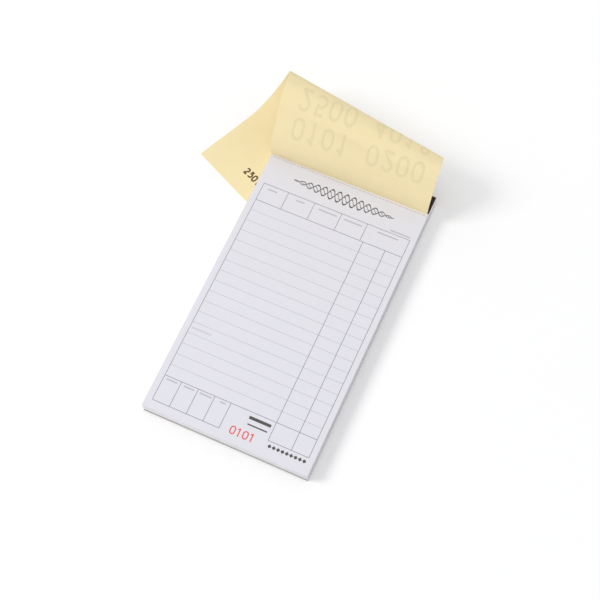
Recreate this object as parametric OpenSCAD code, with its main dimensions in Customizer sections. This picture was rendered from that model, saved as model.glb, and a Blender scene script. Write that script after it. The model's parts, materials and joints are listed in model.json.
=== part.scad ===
// Docket pad with its paper cover turned back over the head.
// X runs across the pad, Y towards the head and Z up. The origin lies on the table,
// straight below the middle of the line where the cover folds.

/* [Pad] */
// Width of the pad
pad_w = 100; // [80:1:130]
// Length of a docket, from the fold of the cover to the foot
docket_len = 171; // [150:1:220]
// Depth of the bound strip at the head
bind_depth = 12; // [10:0.5:18]
// Number of dockets in the pad
leaf_count = 100; // [25:1:120]
// Thickness of a docket
leaf_t = 0.075; // [0.06:0.005:0.11]
// Air between one docket and the next
leaf_gap = 0.01; // [0.01:0.005:0.03]
// Thickness of the back board
board_t = 0.8; // [0.7:0.05:2]

/* [Perforation] */
// Distance from the fold of the cover to the perforation
perf_drop = 1; // [0.5:0.1:4]
// Width of the cuts, across the line
perf_slot = 0.3; // [0.1:0.05:0.6]
// Distance from one paper tie to the next
perf_pitch = 2.5; // [1.6:0.1:5]
// Width of a paper tie
perf_tie = 0.8; // [0.4:0.1:1.2]
// Hair gap between the ties and the stub
tie_gap = 0.02; // [0.01:0.01:0.05]

/* [Binding] */
// Thickness of the binding tape
tape_t = 0.18; // [0.1:0.02:0.4]
// Depth of the tape on the back
tape_back = 12; // [8:0.5:25]
// Distance from a side of the pad to the middle of its staple
staple_side = 25; // [12:1:38]
// Distance from the head to the staples
staple_inset = 5; // [3:0.5:7]
// Length of a staple, from leg to leg
staple_span = 12; // [9:0.5:15]
// Length of the bent end of a staple leg
clinch_len = 4; // [2:0.25:4.25]
// Width of the flat staple wire
wire_w = 0.7; // [0.4:0.05:1]
// Thickness of the flat staple wire
wire_t = 0.5; // [0.3:0.05:0.6]
// Room around a staple in its slots
slot_gap = 0.05; // [0.03:0.01:0.1]

/* [Cover] */
// Thickness of the cover
cover_t = 0.2; // [0.14:0.02:0.3]
// Room under the closed cover
cover_gap = 0.05; // [0.03:0.01:0.2]
// Room between the fold of the cover and the tape
fold_room = 0.4; // [0.3:0.05:0.8]
// Room between the end of the cover and the pad that lies on it
lie_gap = 0.1; // [0.05:0.05:0.5]
// Slope at which the cover leaves the fold, in degrees
cover_rise = 70; // [60:1:80]
// Turn of the loop's crown, in degrees
crown_turn = 134; // [115:1:145]
// Radius of the crown at mid width
crown_r = 11; // [8:0.5:13]
// Radius of the tail at mid width
tail_r = 21.5; // [18:0.5:24]
// Distance from the middle of the pad to the point where the creases would meet
loop_apex = 320; // [260:5:500]
// Room between the pad's right head corner and the last crease of the loop
loop_clear = 4.8; // [3:0.1:9]
// Hair gap between the strips of the cover in the hollow of a crease
crease_gap = 0.04; // [0.02:0.01:0.1]

/* [Hidden] */
$fn = 48;

// Counts that the list of nodes follows
loose_count = 10;
crown_creases = 3;
tail_creases = 4;
creases = crown_creases + tail_creases;

function two_digits(i) = str(i < 10 ? "0" : "", i);
function docket_name(i) = str("docket_", two_digits(i));
function strip_name(k) =
    k == 0 ? "cover_panel"
    : k < crown_creases ? str("cover_crown_", k)
    : k == crown_creases ? "cover_back"
    : k < creases ? str("cover_tail_", k - crown_creases)
    : "cover_end";

// Heights of the layers, from the table up
pad_z = cover_t + lie_gap + tape_t;
stack_z = pad_z + board_t;
leaf_pitch = leaf_t + leaf_gap;
pad_top = stack_z + leaf_count * leaf_pitch;
crown_z = pad_top + cover_t;
fold_z = pad_top + cover_gap + cover_t / 2;
end_z = cover_t / 2;

// Places along the pad
staple_x = pad_w / 2 - staple_side;
staple_y = bind_depth - staple_inset;
docket_edge = -perf_drop - perf_slot;
tie_edge = -perf_drop - tie_gap;
tie_count = floor(pad_w / perf_pitch);

// The loop of the cover is a cone that stands on the table behind the head.
// Its creases would all meet at the apex, far to the right, level with the end of the cover.
drop = fold_z - end_z;
apex = [loop_apex, -drop / tan(cover_rise), end_z];
apex_s = -drop / sin(cover_rise);

// Section of the loop at mid width, from the apex line: a straight rise, the crown,
// a straight back and the tail, which runs out level on the table
tail_turn = 180 + cover_rise - crown_turn;
back_slope = cover_rise - crown_turn;
crown_step = crown_turn / crown_creases;
tail_step = tail_turn / tail_creases;
crown_half = crown_r * tan(crown_step / 2);
tail_half = tail_r * tan(tail_step / 2);
// Strips stand this far apart at a crease, so that their corners clear each other in the hollow
crease_slit = crease_gap + cover_t * tan(max(crown_step, tail_step) / 2);
last_crease_y = (bind_depth + tape_t + loop_clear - apex[1]) * loop_apex / (loop_apex - pad_w / 2);
touch_y = last_crease_y - tail_half;
rise_need = tail_r * (1 + cos(back_slope)) - crown_r * (cos(back_slope) - cos(cover_rise));
reach_need = touch_y - crown_r * (sin(cover_rise) - sin(back_slope)) - tail_r * sin(back_slope);
rise_len = (rise_need * cos(back_slope) - reach_need * sin(back_slope)) / sin(crown_turn);
back_len = (reach_need * sin(cover_rise) - rise_need * cos(cover_rise)) / sin(crown_turn);

function segment_len(i) =
    i == 0 ? rise_len + crown_half
    : i < crown_creases ? 2 * crown_half
    : i == crown_creases ? crown_half + back_len + tail_half
    : 2 * tail_half;
function segment_slope(i) =
    i < crown_creases ? cover_rise - i * crown_step
    : back_slope - (i - crown_creases) * tail_step;
function section_point(i) =
    i < 0 ? [0, 0]
    : section_point(i - 1) + segment_len(i) * [cos(segment_slope(i)), sin(segment_slope(i))];

// Each crease as a direction from the apex, and its angle to the fold on the flat sheet
function unit(v) = v / norm(v);
function angle(a, b) = atan2(norm(cross(a, b)), a * b);
rays = [for (i = [0 : creases - 1])
    unit([-loop_apex, section_point(i)[0], section_point(i)[1]])];
function crease_angle(i) =
    i == 0 ? angle([-1, 0, 0], rays[0])
    : crease_angle(i - 1) + angle(rays[i - 1], rays[i]);
crease_angles = [for (i = [0 : creases - 1]) crease_angle(i)];

// Directions on strip k of the bent cover: across a crease, to the right and away from the fold
function past_crease(k) =
    k < creases ? unit(rays[k] - (rays[k] * rays[k - 1]) * rays[k - 1])
    : unit([-rays[k - 1][1], rays[k - 1][0], 0]);
function right_on(k) =
    k == 0 ? [1, 0, 0]
    : sin(crease_angles[k - 1]) * past_crease(k) - cos(crease_angles[k - 1]) * rays[k - 1];
function away_on(k) =
    k == 0 ? [0, cos(cover_rise), sin(cover_rise)]
    : sin(crease_angles[k - 1]) * rays[k - 1] + cos(crease_angles[k - 1]) * past_crease(k);

// Where crease i crosses the flat sheet at x, moved by a distance square to it
function crease_at(i, x, off) =
    apex_s + (loop_apex - x) * tan(crease_angles[i]) + off / cos(crease_angles[i]);
function strip_start(k, x) = k == 0 ? crease_slit / 2 : crease_at(k - 1, x, crease_slit / 2);
function strip_end(k, x) = k == creases ? docket_len : crease_at(k, x, -crease_slit / 2);

// Puts a shape drawn on the flat sheet onto strip k of the bent cover
module bent_onto(k) {
    right = right_on(k);
    away = away_on(k);
    out = cross(right, away);
    start = apex - loop_apex * right - apex_s * away;
    multmatrix([for (r = [0 : 2]) [right[r], away[r], out[r], start[r]]]) children();
}

module cover_strip(k) {
    half = pad_w / 2;
    color(k < crown_creases ? "#f0e2b0" : "#f8e8ba")
        bent_onto(k)
            translate([0, 0, -cover_t / 2])
                linear_extrude(cover_t)
                    polygon([
                        [-half, strip_start(k, -half)],
                        [half, strip_start(k, half)],
                        [half, strip_end(k, half)],
                        [-half, strip_end(k, -half)]
                    ]);
}

// A flat strip across the whole pad, between two places along it
module across_pad(from, to) {
    translate([-pad_w / 2, from]) square([pad_w, to - from]);
}

// The slots that the four staple legs pass through
module leg_slots() {
    for (side = [-1, 1], leg = [-1, 1])
        translate([side * staple_x + leg * staple_span / 2, staple_y])
            square([wire_t + 2 * slot_gap, wire_w + 2 * slot_gap], center = true);
}

module pierced(from, to) {
    difference() {
        across_pad(from, to);
        leg_slots();
    }
}

// A docket keeps a row of paper ties along its head, where it meets the stub
module docket_outline() {
    half = pad_w / 2;
    ties = [for (i = [0 : tie_count - 1])
        let (x = (i - (tie_count - 1) / 2) * perf_pitch)
        each [
            [x - perf_tie / 2, docket_edge], [x - perf_tie / 2, tie_edge],
            [x + perf_tie / 2, tie_edge], [x + perf_tie / 2, docket_edge]
        ]];
    polygon(concat(
        [[-half, -docket_len], [-half, docket_edge]], ties,
        [[half, docket_edge], [half, -docket_len]]));
}

// Height of a docket counted from the top of the pad
function docket_z(i) = pad_top - leaf_t - (i - 1) * leaf_pitch;

module docket(i) {
    color("#f4f4f7")
        translate([0, 0, docket_z(i)])
            linear_extrude(leaf_t) docket_outline();
}

module docket_stack() {
    color("#ececf0")
        for (i = [loose_count + 1 : leaf_count])
            translate([0, 0, docket_z(i)])
                linear_extrude(leaf_t) across_pad(-docket_len, tie_edge);
}

module docket_stubs() {
    color("#e8e8ec")
        for (i = [1 : leaf_count])
            translate([0, 0, docket_z(i)])
                linear_extrude(leaf_t) pierced(-perf_drop, bind_depth);
}

module cover_bound_strip() {
    color("#f0e2b0")
        translate([0, 0, pad_top])
            linear_extrude(cover_t) pierced(fold_room, bind_depth);
}

// The bent ends of the staple legs lie in shallow beds in the underside of the board
module clinch_beds() {
    bed_len = clinch_len + wire_t / 2 + 2 * slot_gap;
    for (side = [-1, 1], leg = [-1, 1])
        translate([side * staple_x + leg * (staple_span / 2 + wire_t / 2 + slot_gap - bed_len / 2), staple_y])
            square([bed_len, wire_w + 2 * slot_gap], center = true);
}

module back_board() {
    color("#a9a49c")
        translate([0, 0, pad_z])
            difference() {
                linear_extrude(board_t) pierced(-docket_len, bind_depth);
                translate([0, 0, -wire_t]) linear_extrude(2 * wire_t) clinch_beds();
            }
}

// Side view of a staple: the crown on the cover, the legs, and the ends bent in under the board
module staple_outline() {
    wide = staple_span + wire_t;
    tall = crown_z + wire_t - pad_z;
    difference() {
        union() {
            translate([-wide / 2, wire_t]) square([wide, tall - 2 * wire_t]);
            translate([-staple_span / 2 + wire_t / 2, 0]) square([staple_span - wire_t, tall]);
            for (x = [-1, 1], y = [wire_t, tall - wire_t])
                translate([x * (wide / 2 - wire_t), y]) circle(r = wire_t);
        }
        translate([wire_t - wide / 2, wire_t]) square([wide - 2 * wire_t, tall - 2 * wire_t]);
        translate([clinch_len - staple_span / 2, -wire_t])
            square([staple_span - 2 * clinch_len, 3 * wire_t]);
    }
}

module staple(x) {
    color("silver")
        translate([x, staple_y + wire_w / 2, pad_z])
            rotate([90, 0, 0])
                linear_extrude(wire_w) staple_outline();
}

// Side view of the tape: the front strip, the turn over the head and the back strip
module tape_outline() {
    head_tall = crown_z - pad_z;
    translate([fold_room, crown_z]) square([bind_depth - fold_room, tape_t]);
    translate([bind_depth, pad_z]) square([tape_t, head_tall]);
    translate([bind_depth - tape_back, pad_z - tape_t]) square([tape_back, tape_t]);
    for (z = [pad_z, crown_z])
        intersection() {
            translate([bind_depth, z]) circle(r = tape_t);
            translate([bind_depth, z == pad_z ? z - tape_t : z]) square(tape_t);
        }
}

// The tape stands up in a low ridge over the crown of each staple
module crown_ridge() {
    inner = wire_w / 2 + slot_gap;
    translate([-staple_span / 2 - wire_t - tape_t, 0, 0])
        rotate([90, 0, 90])
            linear_extrude(staple_span + 2 * (wire_t + tape_t))
                polygon([
                    [-inner - tape_t - wire_t, 0], [-inner - tape_t / 2, wire_t + slot_gap + tape_t],
                    [inner + tape_t / 2, wire_t + slot_gap + tape_t], [inner + tape_t + wire_t, 0]
                ]);
}

module crown_bed() {
    translate([-staple_span / 2 - wire_t / 2 - slot_gap, -wire_w / 2 - slot_gap, -tape_t])
        cube([staple_span + wire_t + 2 * slot_gap, wire_w + 2 * slot_gap, wire_t + slot_gap + tape_t]);
}

module binding_tape() {
    color("#2a231c")
        difference() {
            union() {
                translate([-pad_w / 2, 0, 0])
                    rotate([90, 0, 90])
                        linear_extrude(pad_w) tape_outline();
                for (side = [-1, 1])
                    translate([side * staple_x, staple_y, crown_z]) crown_ridge();
            }
            for (side = [-1, 1])
                translate([side * staple_x, staple_y, crown_z]) crown_bed();
        }
}

back_board();
docket_stack();
docket_stubs();
cover_bound_strip();
staple(-staple_x);  // staple_left
staple(staple_x);  // staple_right
binding_tape();
for (i = [1 : loose_count])
    docket(i);
for (k = [0 : creases])
    cover_strip(k);
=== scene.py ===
"""Docket pad with its paper cover turned back over the head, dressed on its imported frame."""
import json
import math

import bpy
import numpy as np
from bpy.props import FloatProperty, FloatVectorProperty, IntProperty, PointerProperty
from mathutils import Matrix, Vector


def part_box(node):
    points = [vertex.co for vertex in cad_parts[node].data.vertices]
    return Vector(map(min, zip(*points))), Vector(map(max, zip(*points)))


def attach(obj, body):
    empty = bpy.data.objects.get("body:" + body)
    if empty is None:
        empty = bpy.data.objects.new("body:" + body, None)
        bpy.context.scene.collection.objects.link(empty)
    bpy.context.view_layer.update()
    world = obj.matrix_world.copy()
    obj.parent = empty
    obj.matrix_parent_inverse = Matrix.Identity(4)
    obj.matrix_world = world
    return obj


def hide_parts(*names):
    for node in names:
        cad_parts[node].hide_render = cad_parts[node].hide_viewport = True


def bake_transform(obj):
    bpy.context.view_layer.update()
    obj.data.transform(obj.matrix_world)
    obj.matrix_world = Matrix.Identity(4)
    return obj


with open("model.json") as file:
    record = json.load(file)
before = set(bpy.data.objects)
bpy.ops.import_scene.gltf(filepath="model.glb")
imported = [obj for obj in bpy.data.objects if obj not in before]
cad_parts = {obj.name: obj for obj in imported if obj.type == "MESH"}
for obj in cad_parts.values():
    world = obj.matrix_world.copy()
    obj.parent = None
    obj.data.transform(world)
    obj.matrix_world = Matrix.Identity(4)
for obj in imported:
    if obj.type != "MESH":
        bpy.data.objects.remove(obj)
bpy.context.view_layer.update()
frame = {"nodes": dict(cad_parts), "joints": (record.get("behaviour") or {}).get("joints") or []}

bl_info = {
    "name": "Docket Pad",
    "version": (1, 0, 0),
    "blender": (4, 5, 0),
    "location": "View3D > Sidebar > Docket Pad",
    "description": "Builds a ruled docket pad with its paper cover turned back over the head",
    "category": "Add Mesh",
}

MM = 0.001
SHEET_MAP = "SheetMap"
SHEET_SPAN = 200.0  # millimetres of flat sheet across the whole map
PRINTED_SIDE = "printed_side"
NODES = frame["nodes"]
JOINTS = {joint["name"]: joint for joint in frame["joints"]}
DOCKETS = sorted(name for name in NODES if name.startswith("docket_") and name[-2:].isdigit())

TOP_LOW, TOP_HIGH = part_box("docket_01")
STACK_LOW, STACK_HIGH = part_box("docket_stack")
BOARD_LOW, BOARD_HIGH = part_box("back_board")
BOUND_LOW, BOUND_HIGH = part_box("cover_bound_strip")
TAPE_LOW, TAPE_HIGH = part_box("binding_tape")
PAD_WIDTH = TOP_HIGH.x - TOP_LOW.x
DOCKET_LENGTH = -TOP_LOW.y
LEAF_THICKNESS = TOP_HIGH.z - TOP_LOW.z
COVER_THICKNESS = BOUND_HIGH.z - BOUND_LOW.z
TAPE_THICKNESS = TAPE_HIGH.y - BOARD_HIGH.y

# Sizes that only the shown pieces have
TRIM_SEED = 7
COVER_SETBACK = 0.7 * MM  # the cover's right edge inside the pad's edge
FLAT_STEP, LEAST_FLAT = 5 * MM, 0.02 * MM  # longest face on a flat stretch, and the shortest stretch
SEAM_ROOM = 1.1  # from the first crease to the panel's seam, in half bends
FOLD_STEPS, FOLD_REACH, FOLD_THINNING = 13, 0.9 * MM, 0.9
TAPE_SLACK = 0.02 * MM  # between the tape and the pad
TAPE_FRONT_ROWS, TAPE_TURN_ROWS, TAPE_HEAD_ROWS, TAPE_BACK_ROWS, TAPE_COLUMNS = 46, 8, 14, 16, 240
TAPE_TURN_MARGIN = 0.5 * MM  # flat tape between a staple's rise and the head
STAPLE_MARGIN, STAPLE_FALL, STAPLE_ROOM = 0.06 * MM, 0.62 * MM, 0.05 * MM


def shade(red, green, blue):
    """A colour from its screen values, 0 to 255, as linear light."""
    return tuple(
        (c / 255 / 12.92) if c <= 10 else ((c / 255 + 0.055) / 1.055) ** 2.4
        for c in (red, green, blue))


def colour_property(name, description, default):
    """A colour setting."""
    return FloatVectorProperty(
        name=name, description=description, default=default,
        subtype="COLOR", size=3, min=0, max=1)


def length_property(name, description, default):
    """A length setting, in metres."""
    return FloatProperty(
        name=name, description=description, default=default,
        min=0, precision=6, subtype="DISTANCE", unit="LENGTH")


class DocketFormSettings(bpy.types.PropertyGroup):
    """The printed form on each docket."""
    paper: colour_property("Paper", "Colour of the docket paper", shade(227, 226, 233))
    ruling: colour_property("Ruling", "Colour of the ruled lines", shade(114, 114, 124))
    dark_ink: colour_property("Dark ink", "Colour of the dark print", shade(72, 68, 62))
    serial_ink: colour_property("Serial ink", "Colour of the docket numbers", shade(230, 92, 82))
    row_pitch: length_property("Row pitch", "Distance from one ruled row to the next", 7 * MM)
    frame_line: length_property("Frame line", "Width of the lines around the form", 0.34 * MM)
    row_line: length_property("Row line", "Width of the lines between the rows", 0.22 * MM)
    first_serial: IntProperty(
        name="First number", description="Number of the top docket", default=101, min=1, max=9990)


class PadSettings(bpy.types.PropertyGroup):
    """The stack of dockets, the board and the binding."""
    # The cut edges are painted lighter than the docket paper: painted light that lifts the shaded walls of
    # the pad.
    painted_light_edge_paper: colour_property(
        "Cut edges", "Colour of the paper seen on its cut edges", shade(237, 235, 239))
    board: colour_property("Board", "Colour of the grey back board", shade(178, 175, 171))
    tape: colour_property("Tape", "Colour of the binding tape", shade(38, 31, 25))
    wire: colour_property("Wire", "Colour of the staple wire", shade(190, 190, 194))
    trim_loss: length_property("Trim loss", "Most that a docket falls short of the trimmed edge", 0.12 * MM)
    foot_curve: length_property("Foot curve", "How far the lowest dockets draw back at the foot", 0.5 * MM)


class CoverSettings(bpy.types.PropertyGroup):
    """The thin yellow cover."""
    paper: colour_property("Paper", "Colour of the cover paper", shade(247, 230, 182))
    ink: colour_property("Ink", "Colour of the print on the cover", shade(86, 66, 40))
    belly: FloatProperty(
        name="Belly", description="How strongly the panel swells out over the fold", default=0.42,
        min=0, max=0.6)
    ripple: length_property("Ripple", "Highest ripple that the bends leave in the closed cover", 0.75 * MM)
    bend_steps: IntProperty(
        name="Bend steps", description="Rows of faces round each bend", default=18, min=4, max=64)
    columns: IntProperty(
        name="Columns", description="Columns of faces across the cover", default=30, min=2, max=100)


class StageSettings(bpy.types.PropertyGroup):
    """The floor, the light and the camera."""
    floor: colour_property("Floor", "Colour of the floor", (0.99, 0.99, 0.99))
    lens: FloatProperty(
        name="Lens", description="Focal length of the camera", default=81.97,
        min=10, subtype="DISTANCE_CAMERA", unit="CAMERA")
    key: FloatProperty(
        name="Key lamp", description="Power of the large soft lamp", default=66.0,
        min=0, subtype="POWER", unit="POWER")
    sky: FloatProperty(
        name="Sky", description="Strength of the even light from all round", default=0.70, min=0)


def add_node(tree, kind, settings=None, inputs=None):
    """Adds a node: its settings first, then the values or links of its sockets."""
    made = tree.nodes.new(kind)
    for key, value in (settings or {}).items():
        setattr(made, key, value)
    for key, value in (inputs or {}).items():
        if isinstance(value, bpy.types.NodeSocket):
            tree.links.new(value, made.inputs[key])
        else:
            made.inputs[key].default_value = value
    return made


class Signal:
    """A shader value that takes part in Python expressions; each step adds one Math node."""

    def __init__(self, finish, socket):
        self.finish, self.socket = finish, socket

    def calc(self, operation, *others):
        return self.finish.math(operation, self, *others)

    def __add__(self, other):
        return self.calc("ADD", other)

    __radd__ = __add__

    def __sub__(self, other):
        return self.calc("SUBTRACT", other)

    def __rsub__(self, other):
        return self.finish.math("SUBTRACT", other, self)

    def __mul__(self, other):
        return self.calc("MULTIPLY", other)

    __rmul__ = __mul__

    def __truediv__(self, other):
        return self.calc("DIVIDE", other)

    def __abs__(self):
        return self.calc("ABSOLUTE")

    def __gt__(self, other):
        return self.calc("GREATER_THAN", other)

    def __lt__(self, other):
        return self.calc("LESS_THAN", other)

    def near(self, centre, reach):
        """1 within reach of centre, and 0 outside it."""
        return self.calc("COMPARE", centre, reach)

    def most(self, other):
        return self.calc("MAXIMUM", other)

    def least(self, other):
        return self.calc("MINIMUM", other)


class Finish:
    """One material or world and the nodes that make it."""

    def __init__(self, name, kind="materials"):
        self.owner = getattr(bpy.data, kind).new(name)
        self.owner.use_nodes = True
        self.tree = self.owner.node_tree
        self.tree.nodes.clear()

    def node(self, kind, settings=None, inputs=None):
        """Adds a node whose inputs are signals or plain values."""
        sockets = {key: getattr(value, "socket", value) for key, value in (inputs or {}).items()}
        return add_node(self.tree, kind, settings, sockets)

    def out(self, node, name=0):
        return Signal(self, node.outputs[name])

    def math(self, operation, *values):
        return self.out(self.node("ShaderNodeMath", {"operation": operation}, dict(enumerate(values))))

    def split(self, vector):
        parts = self.node("ShaderNodeSeparateXYZ", inputs={0: vector})
        return [self.out(parts, axis) for axis in "XYZ"]

    def object_point(self):
        """Object coordinates in millimetres."""
        point = self.out(self.node("ShaderNodeTexCoord"), "Object")
        return self.stretch(point, 1 / MM, 1 / MM, 1 / MM)

    def facing_up(self):
        """1 on faces that look up on the object at rest."""
        normal = self.out(self.node("ShaderNodeTexCoord"), "Normal")
        return self.split(normal)[2] > 0.5

    def stretch(self, vector, x, y, z):
        return self.out(self.node(
            "ShaderNodeVectorMath", {"operation": "MULTIPLY"}, {0: vector, 1: (x, y, z)}))

    def noise(self, vector, scale, detail=2.0, roughness=0.5):
        return self.out(self.node("ShaderNodeTexNoise", inputs={
            "Vector": vector, "Scale": scale, "Detail": detail, "Roughness": roughness}), "Fac")

    def mix(self, factor, first, second):
        """Blends two colours."""
        colours = [c if isinstance(c, Signal) else (*c, 1.0) for c in (first, second)]
        made = self.node("ShaderNodeMix", {"data_type": "RGBA"}, {0: factor, 6: colours[0], 7: colours[1]})
        return self.out(made, 2)

    def bump(self, height, distance, strength=1.0):
        return self.out(self.node("ShaderNodeBump", inputs={
            "Height": height, "Distance": distance, "Strength": strength}), "Normal")

    def surface(self, **sockets):
        """Ends the material in one Principled surface; sockets are named with underscores."""
        inputs = {name.replace("_", " "): value for name, value in sockets.items()}
        shader = self.out(self.node("ShaderNodeBsdfPrincipled", inputs=inputs))
        self.node("ShaderNodeOutputMaterial", inputs={"Surface": shader})
        return self.owner


def tone(colour, factor):
    """A lighter or darker kind of a colour."""
    return tuple(min(1.0, c * factor) for c in colour)


def ease(share):
    """Eases a share from 0 to 1, for numbers, arrays and shader values."""
    return share * share * (3.0 - 2.0 * share)


def rectangle(x, y, left, right, low, high):
    """A filled rectangle, in millimetres."""
    return x.near((left + right) / 2, (right - left) / 2) * y.near((low + high) / 2, (high - low) / 2)


def any_of(masks):
    """1 where at least one of the masks is 1."""
    total = masks[0]
    for mask in masks[1:]:
        total = total.most(mask)
    return total


def slanted(x, y, start, end, half):
    """A straight stroke from one point to another."""
    dx, dy = end[0] - start[0], end[1] - start[1]
    length = math.hypot(dx, dy)
    cos, sin = dx / length, dy / length
    middle = ((start[0] + end[0]) / 2, (start[1] + end[1]) / 2)
    along, across = x * cos + y * sin, y * cos - x * sin
    return (along.near(middle[0] * cos + middle[1] * sin, length / 2 + half * 0.5)
            * across.near(middle[1] * cos - middle[0] * sin, half))


def ring(x, y, centre, radius, half, tall=0.0):
    """A circle, or a long ring where tall is above 0."""
    dx, dy = x - centre[0], y - centre[1]
    if tall:
        dy = (abs(dy) - tall).most(0.0)
    return (dx * dx + dy * dy).calc("SQRT").near(radius, half)


def numeral(x, y, digit, half):
    """One digit in a box one unit high, drawn round its middle with strokes of half width half."""
    top = 0.5 - half
    if digit == 0:
        return ring(x, y, (0, 0), 0.26, half, tall=top - 0.26)
    if digit == 1:
        return any_of([rectangle(x, y, -half, half, -0.5, 0.5), slanted(x, y, (-0.2, 0.3), (0, top), half)])
    if digit == 2:
        bowl = ring(x, y, (0, top - 0.25), 0.25, half) * ((y + x * 0.5) > top - 0.28)
        return any_of([bowl, slanted(x, y, (0.2, 0.08), (-0.24, -top), half),
                       rectangle(x, y, -0.27, 0.27, -0.5, -0.5 + 2 * half)])
    if digit == 3:
        upper = ring(x, y, (0, top - 0.21), 0.21, half) * (x > -0.1).most(y > 0.3)
        lower = ring(x, y, (0, 0.25 - top), 0.25, half) * (x > -0.1).most(y < -0.28)
        return upper.most(lower)
    if digit == 4:
        return any_of([rectangle(x, y, 0.1 - half, 0.1 + half, -0.5, 0.5),
                       rectangle(x, y, -0.28, 0.3, -0.2, -0.2 + 2 * half),
                       slanted(x, y, (0.08, top), (-0.24, -0.18 + half), half)])
    if digit == 5:
        bowl = ring(x, y, (0, 0.29 - top), 0.27, half) * (x > -0.12).most(y < -0.3)
        return any_of([bowl, rectangle(x, y, -0.22, 0.24, 0.5 - 2 * half, 0.5),
                       rectangle(x, y, -0.22, -0.22 + 2 * half, 0.02, 0.5)])
    if digit in (6, 9):
        turn = 1.0 if digit == 6 else -1.0
        u, v = x * turn, y * turn
        hook = ring(u, v, (0, 0), 0.26, half, tall=top - 0.26) * ((u < 0.0) * (v > -0.2)).most(v > 0.32)
        return ring(u, v, (0, 0.26 - top), 0.26, half).most(hook)
    if digit == 7:
        return any_of([rectangle(x, y, -0.26, 0.27, 0.5 - 2 * half, 0.5),
                       slanted(x, y, (0.22, top), (-0.06, -top), half)])
    return any_of([ring(x, y, (0, top - 0.2), 0.2, half), ring(x, y, (0, 0.24 - top), 0.24, half)])


def number(x, y, text, left, low, height, pitch, half=0.07, slim=1.0):
    """A row of digits that starts at left and stands on low, in millimetres."""
    masks = []
    for place, digit in enumerate(text):
        if digit == " ":
            continue
        u = (x - (left + pitch * (place + 0.5))) / (height * slim)
        v = (y - (low + height / 2)) / height
        masks.append(numeral(u, v, int(digit), half))
    return any_of(masks)


# Places on the form, in millimetres from the middle of the docket and the fold line.
# A label bar has a left end, a right end and a middle; the other bars have left, right, low and high sides.
FORM_LEFT, FORM_RIGHT = -46.0, 46.5
FORM_HEAD, HEADER_FOOT = -19.5, -31.15
ROW_COUNT = 17
MONEY_COLUMNS = (22.2, 36.0)
HEADER_DIVIDERS = (-30.1, -13.3, 3.85, 20.15)
BOX_DIVIDERS = (-35.6, -25.25, -15.1, -5.3)
TOTAL_FOOT, BOXES_FOOT = -161.2, -165.8
LABEL_BARS = (
    (-42.2, -36.4, -22.3), (-24.2, -18.7, -22.3), (-9.9, 1.9, -22.3), (6.2, 17.9, -22.3),
    (27.3, 40.2, -22.0),
    (-44.1, -37.5, -151.9), (-33.5, -27.0, -151.9), (-23.8, -16.4, -151.9), (-11.2, -7.9, -151.9),
    (33.5, 46.0, -17.9))
LABEL_HALF = 0.45
FAINT_BAR = (-45.0, -32.6, -119.2, -118.0)
BOLD_BARS = ((7.3, 20.4, -154.3, -152.5), (7.9, 19.8, -157.7, -156.9))
ORNAMENT = {"left": -31.0, "right": 33.0, "middle": -10.4, "rise": 3.4}
TWIST_LENGTH = 9.2
DIAMONDS = {"left": 23.0, "right": 46.3, "middle": -164.0, "count": 9, "reach": 1.2}
SERIAL = {"left": 0.2, "low": -166.2, "height": 5.0, "pitch": 3.8, "half": 0.075}
ROW_INK, FRAME_INK, LABEL_INK, FAINT_INK = 0.56, 0.9, 0.42, 0.2


def ornament(x, y, left, right, middle, rise):
    """A twist of two waves that thins out to both ends."""
    centre, half = (left + right) / 2, (right - left) / 2
    share = (x - centre) / half
    swell = (1.0 - share * share).most(0.0)
    wave = (x * (2 * math.pi / TWIST_LENGTH)).calc("SINE") * swell * rise
    fine = (x * (4 * math.pi / TWIST_LENGTH)).calc("SINE") * swell * (rise * 0.42)
    height = y - middle
    weight = swell * 0.38 + 0.14
    strokes = [abs(height - wave) < weight, abs(height + wave) < weight, abs(height - fine) < weight * 0.6]
    return any_of(strokes) * x.near(centre, half)


def diamonds(x, y, left, right, middle, count, reach):
    """A row of small diamonds."""
    pitch = (right - left) / count
    within = (x - left).calc("PINGPONG", pitch / 2)
    shape = (abs(within - pitch / 2) + abs(y - middle)) < reach
    return shape * x.near((left + right) / 2, (right - left) / 2)


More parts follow.
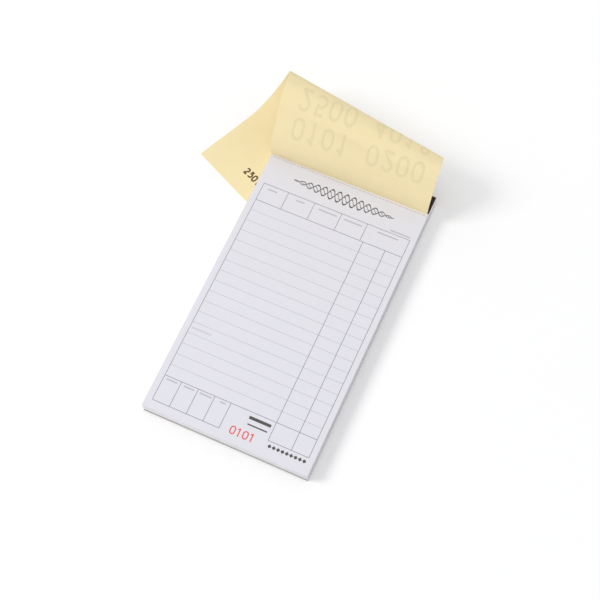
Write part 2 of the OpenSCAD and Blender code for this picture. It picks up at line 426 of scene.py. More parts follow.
def docket_finish(form, serial):
    """Docket paper with the ruled form and its own number."""
    finish = Finish(f"docket_paper_{serial:04d}")
    point = finish.object_point()
    x, y, _ = finish.split(point)
    line, row_line, pitch = form.frame_line / MM / 2, form.row_line / MM / 2, form.row_pitch / MM
    rows_foot = HEADER_FOOT - pitch * ROW_COUNT

    def level(left, right, at):
        return rectangle(x, y, left, right, at - line, at + line)

    def upright(at, low, high):
        return rectangle(x, y, at - line, at + line, low, high)

    frame_lines = [
        level(FORM_LEFT - line, FORM_RIGHT + line, at) for at in (FORM_HEAD, HEADER_FOOT, rows_foot)]
    frame_lines += [
        upright(FORM_LEFT, BOXES_FOOT, FORM_HEAD),
        upright(FORM_RIGHT, TOTAL_FOOT, FORM_HEAD),
        level(FORM_LEFT, BOX_DIVIDERS[-1] + line, BOXES_FOOT),
        level(MONEY_COLUMNS[0], FORM_RIGHT + line, TOTAL_FOOT)]
    frame_lines += [upright(at, TOTAL_FOOT, HEADER_FOOT) for at in MONEY_COLUMNS]
    frame_lines += [upright(at, HEADER_FOOT, FORM_HEAD) for at in HEADER_DIVIDERS]
    frame_lines += [upright(at, BOXES_FOOT, rows_foot) for at in BOX_DIVIDERS]
    beside_row = (y - HEADER_FOOT).calc("PINGPONG", pitch / 2)
    rows = beside_row.near(0.0, row_line) * rectangle(x, y, FORM_LEFT, FORM_RIGHT, rows_foot, HEADER_FOOT)
    labels = any_of([
        rectangle(x, y, left, right, at - LABEL_HALF, at + LABEL_HALF) for left, right, at in LABEL_BARS])
    faint = rectangle(x, y, *FAINT_BAR)
    dark = any_of([rectangle(x, y, *bar) for bar in BOLD_BARS]
                  + [diamonds(x, y, **DIAMONDS), ornament(x, y, **ORNAMENT)])
    red = number(x, y, f"{serial:04d}", **SERIAL)

    fibre = finish.noise(finish.stretch(point, 1.0, 1.0, 0.2), 2.6, 4.0, 0.62)
    cloud = finish.noise(point, 0.09, 2.0)
    shown = finish.facing_up()
    ink_wear = 0.72 + 0.45 * finish.noise(point, 5.0, 2.0)
    paper = finish.mix(cloud, tone(form.paper, 0.985), tone(form.paper, 1.01))
    paper = finish.mix(fibre * 0.5, paper, tone(form.paper, 0.955))
    marks = any_of([rows * ROW_INK, any_of(frame_lines) * FRAME_INK, labels * LABEL_INK, faint * FAINT_INK])
    page = finish.mix(marks * ink_wear * shown, paper, tuple(form.ruling))
    page = finish.mix(dark * ink_wear * shown, page, tuple(form.dark_ink))
    page = finish.mix(red * ink_wear * shown, page, tuple(form.serial_ink))
    grain = finish.bump(finish.noise(point, 9.0, 3.0, 0.6), 0.02 * MM, 0.35)
    return finish.surface(Base_Color=page, Roughness=0.86 + 0.08 * fibre, Normal=grain,
                          Specular_IOR_Level=0.3)


def edge_finish(pad):
    """Cut paper edges: each docket a little lighter or darker than the next."""
    finish = Finish("cut_paper_edges")
    point = finish.object_point()
    layers = finish.noise(finish.stretch(point, 0.012, 0.012, 9.0), 1.0, 3.0, 0.7)
    streaks = finish.noise(finish.stretch(point, 0.35, 0.35, 3.5), 1.0, 2.0, 0.6)
    # Painted light: the edge colour is lighter than the docket paper, to lift the shade on the walls.
    colour = finish.mix(layers, tone(pad.painted_light_edge_paper, 0.86), tone(pad.painted_light_edge_paper, 1.08))
    colour = finish.mix(streaks * 0.35, colour, tone(pad.painted_light_edge_paper, 0.8))
    grain = finish.bump(layers, 0.04 * MM, 0.5)
    return finish.surface(Base_Color=colour, Roughness=0.9 + 0.06 * streaks, Normal=grain,
                          Specular_IOR_Level=0.25)


def board_finish(pad):
    """Grey board: recycled pulp with dark and pale fibres."""
    finish = Finish("grey_board")
    point = finish.object_point()
    pulp = finish.noise(point, 0.55, 5.0, 0.65)
    specks = finish.noise(finish.stretch(point, 1.0, 2.6, 1.0), 2.4, 2.0, 0.5)
    colour = finish.mix(pulp, tone(pad.board, 0.82), tone(pad.board, 1.16))
    colour = finish.mix((specks > 0.66) * 0.45, colour, tone(pad.board, 0.5))
    colour = finish.mix((specks < 0.33) * 0.35, colour, tone(pad.board, 1.6))
    grain = finish.bump(pulp + specks, 0.06 * MM, 0.5)
    return finish.surface(Base_Color=colour, Roughness=0.86 + 0.1 * pulp, Normal=grain,
                          Specular_IOR_Level=0.3)


WEAVE_PITCH = 0.42  # millimetres from thread to thread


def tape_finish(pad):
    """Black cloth tape with a fine weave and lighter brown patches."""
    finish = Finish("binding_cloth")
    point = finish.object_point()
    x, y, z = finish.split(point)
    warp = (x * (2 * math.pi / WEAVE_PITCH)).calc("SINE")
    weft = ((y + z) * (2 * math.pi / WEAVE_PITCH)).calc("SINE")
    weave = warp * weft * 0.5 + 0.5
    brown_patches = finish.noise(point, 0.35, 4.0, 0.6)
    colour = finish.mix(weave * 0.6, tone(pad.tape, 0.75), tone(pad.tape, 1.5))
    # Lighter brown in random patches
    colour = finish.mix((brown_patches - 0.52).most(0.0) * 1.2, colour, tone(pad.tape, 3.2))
    grain = finish.bump(weave + brown_patches * 0.6, 0.05 * MM, 0.6)
    return finish.surface(Base_Color=colour, Roughness=0.5 + 0.3 * brown_patches, Normal=grain)


def wire_finish(pad):
    """Drawn staple wire with fine streaks along it."""
    finish = Finish("staple_steel")
    point = finish.object_point()
    streaks = finish.noise(finish.stretch(point, 0.6, 9.0, 0.6), 1.6, 3.0, 0.6)
    colour = finish.mix(streaks, tone(pad.wire, 0.78), tone(pad.wire, 1.12))
    grain = finish.bump(streaks, 0.02 * MM, 0.4)
    return finish.surface(Base_Color=colour, Metallic=1.0, Roughness=0.26 + 0.2 * streaks, Normal=grain)


# Numbers on the flat cover: digits, left end, top below the fold line, height and pitch, in millimetres
COVER_ROWS = (("0101 0200", -40.5, 20.0, 15.0, 9.2), ("2500 4018", -40.5, 39.5, 15.0, 9.2))
COVER_COUNT = ("250140", -24.0, 155.0, 4.9, 3.4)
ROW_STROKE, COUNT_STROKE = {"half": 0.075, "slim": 0.72}, {"half": 0.115, "slim": 0.85}
ROW_STRENGTH, SHOW_THROUGH = 0.85, 0.085


def cover_finish(cover):
    """Thin yellow paper, printed on its front, whose print shows faintly through the back."""
    finish = Finish("cover_paper")
    sheet = finish.out(finish.node("ShaderNodeUVMap", {"uv_map": SHEET_MAP}))
    u, v, _ = finish.split(sheet)
    x, y = (u - 0.5) * SHEET_SPAN, v * -SHEET_SPAN
    side = finish.out(finish.node("ShaderNodeAttribute", {"attribute_name": PRINTED_SIDE}), "Fac")
    point = finish.object_point()

    def line(digits, left, top, height, pitch, stroke):
        return number(x, y, digits, left, -top - height, height, pitch, **stroke)

    rows = any_of([line(*row, ROW_STROKE) for row in COVER_ROWS])
    count = line(*COVER_COUNT, COUNT_STROKE)
    cloud = finish.noise(point, 0.16, 3.0, 0.6)
    fibre = finish.noise(point, 2.2, 4.0, 0.65)
    paper = finish.mix(cloud, tone(cover.paper, 0.95), tone(cover.paper, 1.03))
    paper = finish.mix(fibre * 0.45, paper, tone(cover.paper, 0.9))
    ink_wear = 0.75 + 0.4 * finish.noise(point, 3.0, 2.0)
    printed = (rows * ROW_STRENGTH).most(count) * ink_wear * side
    through = rows * (1.0 - side) * SHOW_THROUGH
    colour = finish.mix(printed, paper, tuple(cover.ink))
    colour = finish.mix(through, colour, tuple(cover.ink))
    grain = finish.bump(finish.noise(point, 6.0, 3.0, 0.6) + cloud, 0.04 * MM, 0.4)
    return finish.surface(Base_Color=colour, Roughness=0.8 + 0.12 * fibre, Normal=grain,
                          Specular_IOR_Level=0.35)


def paint(name, material):
    """Gives a piece of the frame its material."""
    materials = NODES[name].data.materials
    materials.clear()
    materials.append(material)


def make_piece(name, vertices, faces, material, smooth=True):
    """A mesh object at the origin, its faces turned outwards by the order of their corners."""
    mesh = bpy.data.meshes.new(name)
    mesh.from_pydata([tuple(map(float, v)) for v in vertices], [], [tuple(map(int, f)) for f in faces])
    if mesh.validate():
        raise RuntimeError(f"{name} has faces that can't be built")
    mesh.polygons.foreach_set("use_smooth", [smooth] * len(mesh.polygons))
    mesh.materials.append(material)
    piece = bpy.data.objects.new(name, mesh)
    bpy.context.scene.collection.objects.link(piece)
    return piece


def sheet_faces(rows, columns):
    """Faces of a closed thin sheet: the front grid, then the back grid, then the walls round its edge."""
    count = rows * columns

    def at(row, column):
        return row * columns + column

    front, back, walls = [], [], []
    for r in range(rows - 1):
        for c in range(columns - 1):
            quad = (at(r, c), at(r + 1, c), at(r + 1, c + 1), at(r, c + 1))
            front.append(quad)
            back.append(tuple(count + i for i in reversed(quad)))
    border = [at(0, c) for c in range(columns)]
    border += [at(r, columns - 1) for r in range(1, rows)]
    border += [at(rows - 1, c) for c in range(columns - 2, -1, -1)]
    border += [at(r, 0) for r in range(rows - 2, 0, -1)]
    for here, there in zip(border, border[1:] + border[:1]):
        walls.append((here, there, count + there, count + here))
    return front, back, walls


def thin_sheet(name, points, normals, thickness, material):
    """A closed sheet of even thickness round a grid of points, and the number of its front faces."""
    rows, columns = points.shape[:2]
    offset = normals * (thickness / 2)
    vertices = np.concatenate([(points + offset).reshape(-1, 3), (points - offset).reshape(-1, 3)])
    front, back, walls = sheet_faces(rows, columns)
    piece = make_piece(name, vertices, front + back + walls, material)
    first_wall = len(front) + len(back)
    for polygon in piece.data.polygons[first_wall:]:
        polygon.use_smooth = False
    edges = {tuple(sorted(pair)) for wall in walls for pair in (wall[:2], wall[2:])}
    for edge in piece.data.edges:
        if tuple(sorted(edge.vertices)) in edges:
            edge.use_edge_sharp = True
    return piece, len(front)


def unit(vector):
    """A vector at length 1."""
    return vector / np.linalg.norm(vector)


def grid_normals(points):
    """Normals of a grid of points, towards the printed side."""
    normals = np.cross(np.gradient(points, axis=0), np.gradient(points, axis=1))
    return normals / np.linalg.norm(normals, axis=2)[..., None]


def plain(*points):
    """Points as plain numbers."""
    return [tuple(map(float, point)) for point in points]


def flat_steps(lengths):
    """How many rows of faces a flat stretch of the sheet takes."""
    longest = float(np.max(lengths))
    return math.ceil(longest / FLAT_STEP) if longest > LEAST_FLAT else 0


class CoverLoop:
    """The cover's loop as a cone of bends, read from the frame's creases."""

    def __init__(self, ripple):
        creases = [JOINTS[name] for name in sorted(JOINTS) if name.startswith("crease_")]
        fold = JOINTS["cover_turn"]
        self.strips = [fold["child"]] + [joint["child"] for joint in creases]
        self.fold_point = np.array(fold["pos_m"])
        points = np.array([joint["pos_m"] for joint in creases])
        self.rays = np.array([unit(-np.array(joint["axis"])) for joint in creases])
        square = [np.eye(3) - np.outer(ray, ray) for ray in self.rays]
        # The apex is the point nearest to all the creases
        self.apex = np.linalg.solve(sum(square), sum(s @ p for s, p in zip(square, points)))
        fold_ray = np.array((-1.0, 0.0, 0.0))
        last_ray = self.rays[-1]
        level = np.array((-last_ray[1], last_ray[0], 0.0))
        before, after = [fold_ray, *self.rays], [*self.rays, level]
        self.normals = [unit(np.cross(a, b)) for a, b in zip(before, after)]
        steps = [math.acos(float(a @ b)) for a, b in zip(before, self.rays)]
        self.angles = np.cumsum(steps)
        self.turns = [math.acos(float(np.clip(a @ b, -1, 1)))
                      for a, b in zip(self.normals, self.normals[1:])]
        self.away = np.cross(self.normals[0], fold_ray)
        self.apex_across = self.apex[0]
        self.apex_down = float((self.apex - self.fold_point) @ self.away)
        self.closing = math.radians(fold["range_deg"][1])
        gaps = np.diff(self.angles)
        longest = int(np.argmax(gaps))
        self.halves = []
        # A bend takes half the way to its neighbours, or less where its ripple would be too high
        for i in range(len(creases)):
            beside = [gaps[k] for k in (i - 1, i) if 0 <= k < len(gaps) and k != longest]
            along = (self.apex_across + PAD_WIDTH / 2) / math.cos(self.angles[i])
            widest = math.atan(ripple / (along * math.tan(self.turns[i] / 4)))
            self.halves.append(min(*beside, 2 * widest) / 2)
        self.seam = self.angles[0] - SEAM_ROOM * self.halves[0]

    def line(self, angle, across):
        """How far down the flat sheet the line at that angle from the apex lies."""
        return self.apex_down + (self.apex_across - across) * math.tan(angle)

    def rows(self, i, across, bend_steps):
        """How far down the flat sheet the rows of the piece at crease i lie: flat, round the bend, flat."""
        angle, half = self.angles[i], self.halves[i]
        if i == 0:
            start = self.line(self.seam, across)
        else:
            start = self.line((self.angles[i - 1] + self.halves[i - 1] + angle - half) / 2, across)
        if i == len(self.turns) - 1:
            end = np.full_like(across, DOCKET_LENGTH)
        else:
            end = self.line((angle + half + self.angles[i + 1] - self.halves[i + 1]) / 2, across)
        enter, leave = self.line(angle - half, across), self.line(angle + half, across)
        before, after = flat_steps(enter - start), flat_steps(end - leave)
        rows = [start + (enter - start) * t for t in np.linspace(0, 1, before + 1)[:-1]]
        rows += [enter + (leave - enter) * t for t in np.linspace(0, 1, bend_steps + 1)]
        rows += [leave + (end - leave) * t for t in np.linspace(0, 1, after + 1)[1:]]
        return np.array(rows)

    def swell(self, across, share, belly):
        """Points of the panel from the fold to its seam, swollen so that it lies flat when it is closed.

        A point's lean is the part of the closing turn that its weight leaves out.
        """
        seam = self.line(self.seam, across)
        height = seam * share
        slope = belly / self.line(self.seam, -PAD_WIDTH / 2)
        course = 1 - slope * (seam - height)
        lean = self.closing * (1 - ease(course))
        points = np.zeros((*height.shape, 3))
        points[..., 0] = across
        points += self.fold_point * (0, 1, 1) + height[..., None] * self.away
        points -= (height * np.tan(lean))[..., None] * self.normals[0]
        return points, height / np.cos(lean), lean

    def swell_ends(self, belly):
        """Where the panel's weight is 0 and where it is 1."""
        slope = belly / self.line(self.seam, -PAD_WIDTH / 2)
        end = self.fold_point * (0, 1, 1) + self.line(self.seam, 0.0) * self.away
        rise = slope * (self.away + math.tan(self.seam) * np.array((1.0, 0.0, 0.0)))
        start = end - rise / (rise @ rise)
        return plain(start, end)

    def place(self, i, across, down):
        """Points of the flat sheet on the smooth bend at crease i, and the printed side's normals."""
        angle, turn = self.angles[i], self.turns[i]
        left, below = self.apex_across - across, down - self.apex_down
        along = left * math.cos(angle) + below * math.sin(angle)
        past = below * math.cos(angle) - left * math.sin(angle)
        half = along * math.tan(self.halves[i])
        radius = half / math.tan(turn / 2)
        swing = np.clip((past + half) / (2 * half), 0, 1) * turn
        ray, normal = self.rays[i], self.normals[i]
        forward = np.cross(normal, ray)
        run = radius * np.sin(swing) - half + np.minimum(past + half, 0)
        lift = radius * (1 - np.cos(swing))
        over = np.maximum(past - half, 0)
        run, lift = run + over * math.cos(turn), lift + over * math.sin(turn)
        points = (self.apex + along[..., None] * ray + run[..., None] * forward + lift[..., None] * normal)
        normals = np.cos(swing)[..., None] * normal - np.sin(swing)[..., None] * forward
        return points, normals

    def blend_ends(self, i):
        """Where the bend at crease i starts and ends, on the narrow side of the cover."""
        along = (self.apex_across - PAD_WIDTH / 2) / math.cos(self.angles[i])
        half, turn = along * math.tan(self.halves[i]), self.turns[i]
        forward = np.cross(self.normals[i], self.rays[i])
        corner = self.apex + along * self.rays[i]
        beyond = math.cos(turn) * forward + math.sin(turn) * self.normals[i]
        return plain(corner - half * forward, corner + half * beyond)


class DOCKETPAD_OT_dockets(bpy.types.Operator):
    """Prints the ruled form and a number on each loose docket"""
    bl_idname = "docketpad.dockets"
    bl_label = "Dockets"

    def execute(self, context):
        form = context.scene.docket_form
        for place, name in enumerate(DOCKETS):
            paint(name, docket_finish(form, form.first_serial + place))
        return {"FINISHED"}


def leaf_stack_tree(material):
    """Geometry nodes that stack dockets, each trimmed a little differently."""
    tree = bpy.data.node_groups.new("Docket stack", "GeometryNodeTree")
    face = tree.interface
    for name in ("Width", "Length", "Leaf thickness", "Pitch", "Head edge", "Lowest leaf", "Trim loss",
                 "Foot curve"):
        face.new_socket(name, in_out="INPUT", socket_type="NodeSocketFloat")
    for name in ("Leaves", "Seed"):
        face.new_socket(name, in_out="INPUT", socket_type="NodeSocketInt")
    face.new_socket("Geometry", in_out="OUTPUT", socket_type="NodeSocketGeometry")

    def add(kind, settings=None, inputs=None):
        return add_node(tree, kind, settings, inputs).outputs

    def maths(operation, *values):
        return add("ShaderNodeMath", {"operation": operation}, dict(enumerate(values)))[0]

    given = add("NodeGroupInput")
    start = add("ShaderNodeCombineXYZ", inputs={"Y": given["Head edge"], "Z": given["Lowest leaf"]})[0]
    step = add("ShaderNodeCombineXYZ", inputs={"Z": given["Pitch"]})[0]
    line = add("GeometryNodeMeshLine", inputs={
        "Count": given["Leaves"], "Start Location": start, "Offset": step})["Mesh"]
    size = add("ShaderNodeCombineXYZ", inputs={
        "X": given["Width"], "Y": given["Length"], "Z": given["Leaf thickness"]})[0]
    leaf = add("GeometryNodeMeshCube", inputs={"Size": size})["Mesh"]
    hang = add("ShaderNodeCombineXYZ", inputs={"Y": maths("MULTIPLY", given["Length"], -0.5)})[0]
    hung = add("GeometryNodeTransform", inputs={"Geometry": leaf, "Translation": hang})[0]
    index = add("GeometryNodeInputIndex")[0]
    rank = maths("DIVIDE", index, given["Leaves"])
    curve = maths("MULTIPLY", maths("POWER", maths("SUBTRACT", 1.0, rank), 3.0), given["Foot curve"])

    def trim(salt):
        loss = add("FunctionNodeRandomValue", {"data_type": "FLOAT"}, {
            "Max": given["Trim loss"], "ID": index, "Seed": maths("ADD", given["Seed"], salt)})
        return next(socket for socket in loss if socket.enabled)

    across = maths("SUBTRACT", 1.0, maths("DIVIDE", trim(1), given["Width"]))
    short = maths("ADD", trim(2), curve)
    along = maths("SUBTRACT", 1.0, maths("DIVIDE", short, given["Length"]))
    scale = add("ShaderNodeCombineXYZ", inputs={"X": across, "Y": along, "Z": 1.0})[0]
    stacked = add("GeometryNodeInstanceOnPoints", inputs={
        "Points": line, "Instance": hung, "Scale": scale})[0]
    real = add("GeometryNodeRealizeInstances", inputs={"Geometry": stacked})[0]
    painted = add("GeometryNodeSetMaterial", inputs={"Geometry": real, "Material": material})[0]
    add("NodeGroupOutput", inputs={"Geometry": painted})
    return tree


def grow(name, tree, values):
    """Runs a geometry nodes tree with these named values and returns its result as a plain mesh piece."""
    holder = bpy.data.objects.new(name + "_maker", bpy.data.meshes.new(name + "_maker"))
    bpy.context.scene.collection.objects.link(holder)
    modifier = holder.modifiers.new("Nodes", "NODES")
    modifier.node_group = tree
    for item in tree.interface.items_tree:
        if item.in_out == "INPUT" and item.name in values:
            modifier[item.identifier] = values[item.name]
    graph = bpy.context.evaluated_depsgraph_get()
    mesh = bpy.data.meshes.new_from_object(holder.evaluated_get(graph))
    mesh.name = name
    holder.modifiers.remove(modifier)
    bpy.data.objects.remove(holder)
    if not mesh.polygons:
        raise RuntimeError(f"{name} came out empty")
    piece = bpy.data.objects.new(name, mesh)
    bpy.context.scene.collection.objects.link(piece)
    return piece


class DOCKETPAD_OT_stack(bpy.types.Operator):
    """Stacks the bound dockets under the loose ones and gives the stubs their cut edges"""
    bl_idname = "docketpad.stack"
    bl_label = "Docket stack"

    def execute(self, context):
        pad = context.scene.docket_pad
        edges = edge_finish(pad)
        pitch = (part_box(DOCKETS[0])[0].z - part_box(DOCKETS[-1])[0].z) / (len(DOCKETS) - 1)
        leaves = round((STACK_HIGH.z - STACK_LOW.z - LEAF_THICKNESS) / pitch) + 1
        tree = leaf_stack_tree(edges)
        stack = grow("bound_dockets", tree, {
            "Width": PAD_WIDTH, "Length": STACK_HIGH.y - STACK_LOW.y, "Leaf thickness": LEAF_THICKNESS,
            "Pitch": pitch, "Head edge": STACK_HIGH.y, "Lowest leaf": STACK_LOW.z + LEAF_THICKNESS / 2,
            "Trim loss": pad.trim_loss, "Foot curve": pad.foot_curve, "Leaves": leaves,
            "Seed": TRIM_SEED})
        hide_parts("docket_stack")
        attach(stack, "pad")
        paint("docket_stubs", edges)
        return {"FINISHED"}


def tape_grid(staples):
    """The tape's inside as a grid of points, with normals, from the front edge round the head to the back."""
    front, head, foot = BOUND_LOW.y, BOARD_HIGH.y, TAPE_LOW.y
    top, bottom = BOUND_HIGH.z, BOARD_LOW.z
    path = [(y, top, 0.0) for y in np.linspace(front, head, TAPE_FRONT_ROWS)]
    path += [(head, top, a) for a in np.linspace(0, math.pi / 2, TAPE_TURN_ROWS)[1:-1]]
    path += [(head, z, math.pi / 2) for z in np.linspace(top, bottom, TAPE_HEAD_ROWS)]
    path += [(head, bottom, a) for a in np.linspace(math.pi / 2, math.pi, TAPE_TURN_ROWS)[1:-1]]
    path += [(y, bottom, math.pi) for y in np.linspace(head, foot, TAPE_BACK_ROWS)]
    path = np.array(path)
    across = np.linspace(PAD_WIDTH / 2, -PAD_WIDTH / 2, TAPE_COLUMNS)
    points = np.zeros((len(path), len(across), 3))
    points[..., 0] = across
    points[..., 1] = path[:, :1]
    points[..., 2] = path[:, 1:2]
    normals = np.zeros_like(points)
    normals[..., 1] = np.sin(path[:, 2:3])
    normals[..., 2] = np.cos(path[:, 2:3])
    on_front = (path[:, 2:3] == 0.0) & (path[:, :1] < head - TAPE_TURN_MARGIN)
    for low, high in staples:
        beyond_x = np.maximum(np.maximum(low.x - across, across - high.x) - STAPLE_MARGIN, 0)[None, :]
        beyond_y = np.maximum(np.maximum(low.y - path[:, :1], path[:, :1] - high.y) - STAPLE_MARGIN, 0)
        share = ease(np.clip(1 - np.hypot(beyond_x, beyond_y) / STAPLE_FALL, 0, 1))
        points[..., 2] += np.where(on_front, share * (high.z + STAPLE_ROOM - top), 0)
    return points, normals


class DOCKETPAD_OT_binding(bpy.types.Operator):
    """Wraps the tape over the head and finishes the staples and the board"""
    bl_idname = "docketpad.binding"
    bl_label = "Binding"

    def execute(self, context):
        pad = context.scene.docket_pad
        staples = [name for name in sorted(NODES) if name.startswith("staple_")]
        points, normals = tape_grid([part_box(name) for name in staples])
        middle = points + normals * ((TAPE_THICKNESS + TAPE_SLACK) / 2)
        tape, _ = thin_sheet("head_tape", middle, normals, TAPE_THICKNESS - TAPE_SLACK, tape_finish(pad))
        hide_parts("binding_tape")
        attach(tape, "pad")
        paint("back_board", board_finish(pad))
        wire = wire_finish(pad)
        for name in staples:
            paint(name, wire)
        return {"FINISHED"}


def map_sheet(piece, across, down, front_faces):
    """Writes the flat sheet's places to the UV map, and which faces are on the printed side."""
    mesh = piece.data
    layer = mesh.uv_layers.new(name=SHEET_MAP)
    span = SHEET_SPAN * MM
    flat = np.stack([across.ravel() / span + 0.5, down.ravel() / span], axis=1)
    flat = np.concatenate([flat, flat])
    corners = np.zeros(len(mesh.loops), dtype=np.int32)
    mesh.loops.foreach_get("vertex_index", corners)
    layer.data.foreach_set("uv", flat[corners].astype(np.float32).ravel())
    side = mesh.attributes.new(PRINTED_SIDE, "FLOAT", "FACE")
    values = np.zeros(len(mesh.polygons), dtype=np.float32)
    values[:front_faces] = 1.0
    side.data.foreach_set("value", values)


class DOCKETPAD_OT_cover(bpy.types.Operator):
    """Bends the cover into its loop, one piece for each bend"""
    bl_idname = "docketpad.cover"
    bl_label = "Cover"

    def execute(self, context):
        cover = context.scene.docket_cover
        material = cover_finish(cover)
        loop = CoverLoop(cover.ripple)
        across = np.linspace(-PAD_WIDTH / 2, PAD_WIDTH / 2 - COVER_SETBACK, cover.columns + 1)
        for i in range(len(loop.turns)):
            down = loop.rows(i, across, cover.bend_steps)
            wide = np.broadcast_to(across, down.shape)
            points, normals = loop.place(i, wide, down)
            piece, front = thin_sheet(f"cover_bend_{i + 1}", points, normals, COVER_THICKNESS, material)
            map_sheet(piece, wide, down, front)
            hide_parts(loop.strips[i + 1])
            loop.strips[i]
            loop.strips[i + 1]
            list(loop.blend_ends(i))
            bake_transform(piece)
        lean = self.panel(cover, material, loop, across)
        self.fold(material, loop, across, lean)
        paint("cover_bound_strip", material)
        return {"FINISHED"}

    def panel(self, cover, material, loop, across):
        """Builds the panel that rises from the fold, and returns how far it leans out there."""
        share = np.linspace(0, 1, 2 * cover.bend_steps)[:, None]
        wide = np.broadcast_to(across, (len(share), len(across)))
        points, down, lean = loop.swell(wide, share, cover.belly)
        piece, front = thin_sheet("cover_rise", points, grid_normals(points), COVER_THICKNESS, material)
        map_sheet(piece, wide, down, front)
        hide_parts(loop.strips[0])
        loop.strips[0]
        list(loop.swell_ends(cover.belly))
        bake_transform(piece)
        return lean[0]

    def fold(self, material, loop, across, lean):
        """Builds the short turn of paper between the bound strip and the panel."""
        start = np.array((0.0, BOUND_LOW.y, (BOUND_LOW.z + BOUND_HIGH.z) / 2))
        end = loop.fold_point * (0, 1, 1)
        rise = np.cos(lean)[:, None] * loop.away - np.sin(lean)[:, None] * loop.normals[0]
        out = np.array((0.0, -FOLD_REACH, 0.0))
        t = np.linspace(0, 1, FOLD_STEPS)[:, None, None]
        points = ((2 * t**3 - 3 * t**2 + 1) * start + (t**3 - 2 * t**2 + t) * out
                  + (3 * t**2 - 2 * t**3) * end + (t**3 - t**2) * FOLD_REACH * rise)
        points[..., 0] = across
        thickness = COVER_THICKNESS * FOLD_THINNING
        piece, front = thin_sheet("cover_fold", points, grid_normals(points), thickness, material)
        wide = np.broadcast_to(across, points.shape[:2])
        map_sheet(piece, wide, np.zeros_like(wide), front)
        loop.strips[0]
        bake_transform(piece)


# The camera and the lamp, in metres and degrees, fitted to the picture's frame
CAMERA_PLACE = (0.14018, -0.34540, 0.72312)
CAMERA_TURN = (22.734, 1.138, 24.360)
CAMERA_CLIP = (0.01, 20.0)
SENSOR_WIDTH = 36.0  # millimetres
KEY_PLACE, KEY_SIZE, KEY_COLOUR = (-2.33, -1.19, 2.5), 1.45, (1.0, 0.99, 0.97)
AIM = (0.0, -0.06, 0.0)
SKY_COLOUR = (0.97, 0.98, 1.0, 1.0)
SKY_TILT = 0.2  # how much stronger the sky is behind the head than in front of the foot
WHITE = (1.0, 1.0, 1.0, 1.0)
FLOOR_REACH = 6.0
# The floor's share of plain white to the camera grows with the distance from a centre, in millimetres
FLOOR_GLOW = 0.20
FADE_CENTRE = (0.0, -95.0)
FADE_START, FADE_END = 60.0, 300.0


def lamp(name, place, power, size, colour):
    """A round area lamp that looks at the pad."""
    data = bpy.data.lights.new(name, "AREA")
    data.shape = "DISK"
    data.energy, data.size, data.color = power, size, colour
    made = bpy.data.objects.new(name, data)
    made.location = place
    direction = np.array(AIM) - np.array(place)
    flat = math.hypot(direction[0], direction[1])
    made.rotation_euler = (math.atan2(flat, -direction[2]), 0, math.atan2(-direction[0], direction[1]))
    bpy.context.scene.collection.objects.link(made)


def floor_finish(stage):
    """A white floor that keeps the shadow near the pad and fades to plain white for the camera."""
    finish = Finish("studio_floor")
    light = finish.node("ShaderNodeLightPath")
    seen = finish.out(light, "Is Camera Ray").most(finish.out(light, "Is Glossy Ray"))
    seen = seen.most(finish.out(light, "Is Transmission Ray"))
    point = finish.object_point()
    mottle = finish.noise(point, 0.02, 2.0)
    colour = finish.mix(mottle, tone(stage.floor, 0.995), tone(stage.floor, 1.005))
    diffuse = finish.out(finish.node("ShaderNodeBsdfDiffuse", inputs={"Color": colour}))
    white = finish.out(finish.node("ShaderNodeEmission", inputs={"Color": WHITE, "Strength": 1.0}))
    x, y, _ = finish.split(point)
    x, y = x - FADE_CENTRE[0], y - FADE_CENTRE[1]
    away = (x * x + y * y).calc("SQRT")
    fade = ease(((away - FADE_START) / (FADE_END - FADE_START)).most(0.0).least(1.0))
    glow = FLOOR_GLOW + (1.0 - FLOOR_GLOW) * fade
    both = finish.out(finish.node("ShaderNodeMixShader", inputs={0: seen * glow, 1: diffuse, 2: white}))
    finish.node("ShaderNodeOutputMaterial", inputs={"Surface": both})
    return finish.owner


def sky_finish(stage):
    """Even light from all round, a little stronger from behind the head; the camera sees plain white."""
    finish = Finish("even_light", "worlds")
    direction = finish.out(finish.node("ShaderNodeTexCoord"), "Generated")
    behind = finish.split(direction)[1] * 0.5 + 0.5
    front, back = [
        finish.out(finish.node("ShaderNodeBackground", inputs={
            "Color": SKY_COLOUR, "Strength": stage.sky * share}))
        for share in (1 - SKY_TILT, 1 + SKY_TILT)]
    even = finish.out(finish.node("ShaderNodeMixShader", inputs={0: behind, 1: front, 2: back}))
    white = finish.out(finish.node("ShaderNodeBackground", inputs={"Color": WHITE, "Strength": 1.0}))
    seen = finish.out(finish.node("ShaderNodeLightPath"), "Is Camera Ray")
    both = finish.out(finish.node("ShaderNodeMixShader", inputs={0: seen, 1: even, 2: white}))
    finish.node("ShaderNodeOutputWorld", inputs={"Surface": both})
    return finish.owner


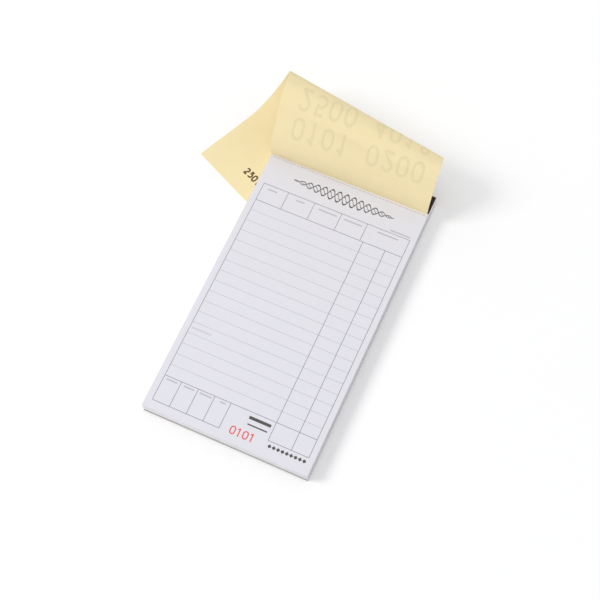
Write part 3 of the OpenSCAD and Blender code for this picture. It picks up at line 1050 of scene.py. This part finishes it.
class DOCKETPAD_OT_stage(bpy.types.Operator):
    """Sets the floor, the lamp, the sky and the camera"""
    bl_idname = "docketpad.stage"
    bl_label = "Stage"

    def execute(self, context):
        scene, stage = context.scene, context.scene.docket_stage
        reach = FLOOR_REACH / 2
        floor = make_piece("studio_floor", [
            (-reach, -reach, 0), (reach, -reach, 0), (reach, reach, 0), (-reach, reach, 0)],
            [(0, 1, 2, 3)], floor_finish(stage), smooth=False)
        lamp("key_lamp", KEY_PLACE, stage.key, KEY_SIZE, KEY_COLOUR)
        scene.world = sky_finish(stage)
        data = bpy.data.cameras.new("camera")
        data.lens, data.sensor_width = stage.lens, SENSOR_WIDTH
        data.clip_start, data.clip_end = CAMERA_CLIP
        camera = bpy.data.objects.new("camera", data)
        camera.location = CAMERA_PLACE
        camera.rotation_euler = [math.radians(a) for a in CAMERA_TURN]
        scene.collection.objects.link(camera)
        scene.camera = camera
        scene.view_settings.view_transform = "Standard"
        return {"FINISHED"}


class DOCKETPAD_PT_panel(bpy.types.Panel):
    """Lists the steps that build the docket pad"""
    bl_idname = "DOCKETPAD_PT_panel"
    bl_label = "Docket Pad"
    bl_space_type = "VIEW_3D"
    bl_region_type = "UI"
    bl_category = "Docket Pad"

    def draw(self, context):
        for operator in OPERATORS:
            self.layout.operator(operator.bl_idname)


SETTINGS = {
    "docket_form": DocketFormSettings,
    "docket_pad": PadSettings,
    "docket_cover": CoverSettings,
    "docket_stage": StageSettings,
}
OPERATORS = (
    DOCKETPAD_OT_stage,
    DOCKETPAD_OT_dockets,
    DOCKETPAD_OT_stack,
    DOCKETPAD_OT_binding,
    DOCKETPAD_OT_cover,
)
CLASSES = (*SETTINGS.values(), *OPERATORS, DOCKETPAD_PT_panel)


def register():
    for cls in CLASSES:
        bpy.utils.register_class(cls)
    for name, cls in SETTINGS.items():
        setattr(bpy.types.Scene, name, PointerProperty(type=cls))


def unregister():
    for name in SETTINGS:
        delattr(bpy.types.Scene, name)
    for cls in reversed(CLASSES):
        bpy.utils.unregister_class(cls)


def main():
    register()
    bpy.ops.docketpad.stage()
    bpy.ops.docketpad.dockets()
    bpy.ops.docketpad.stack()
    bpy.ops.docketpad.binding()
    bpy.ops.docketpad.cover()


if __name__ == "__main__":
    main()
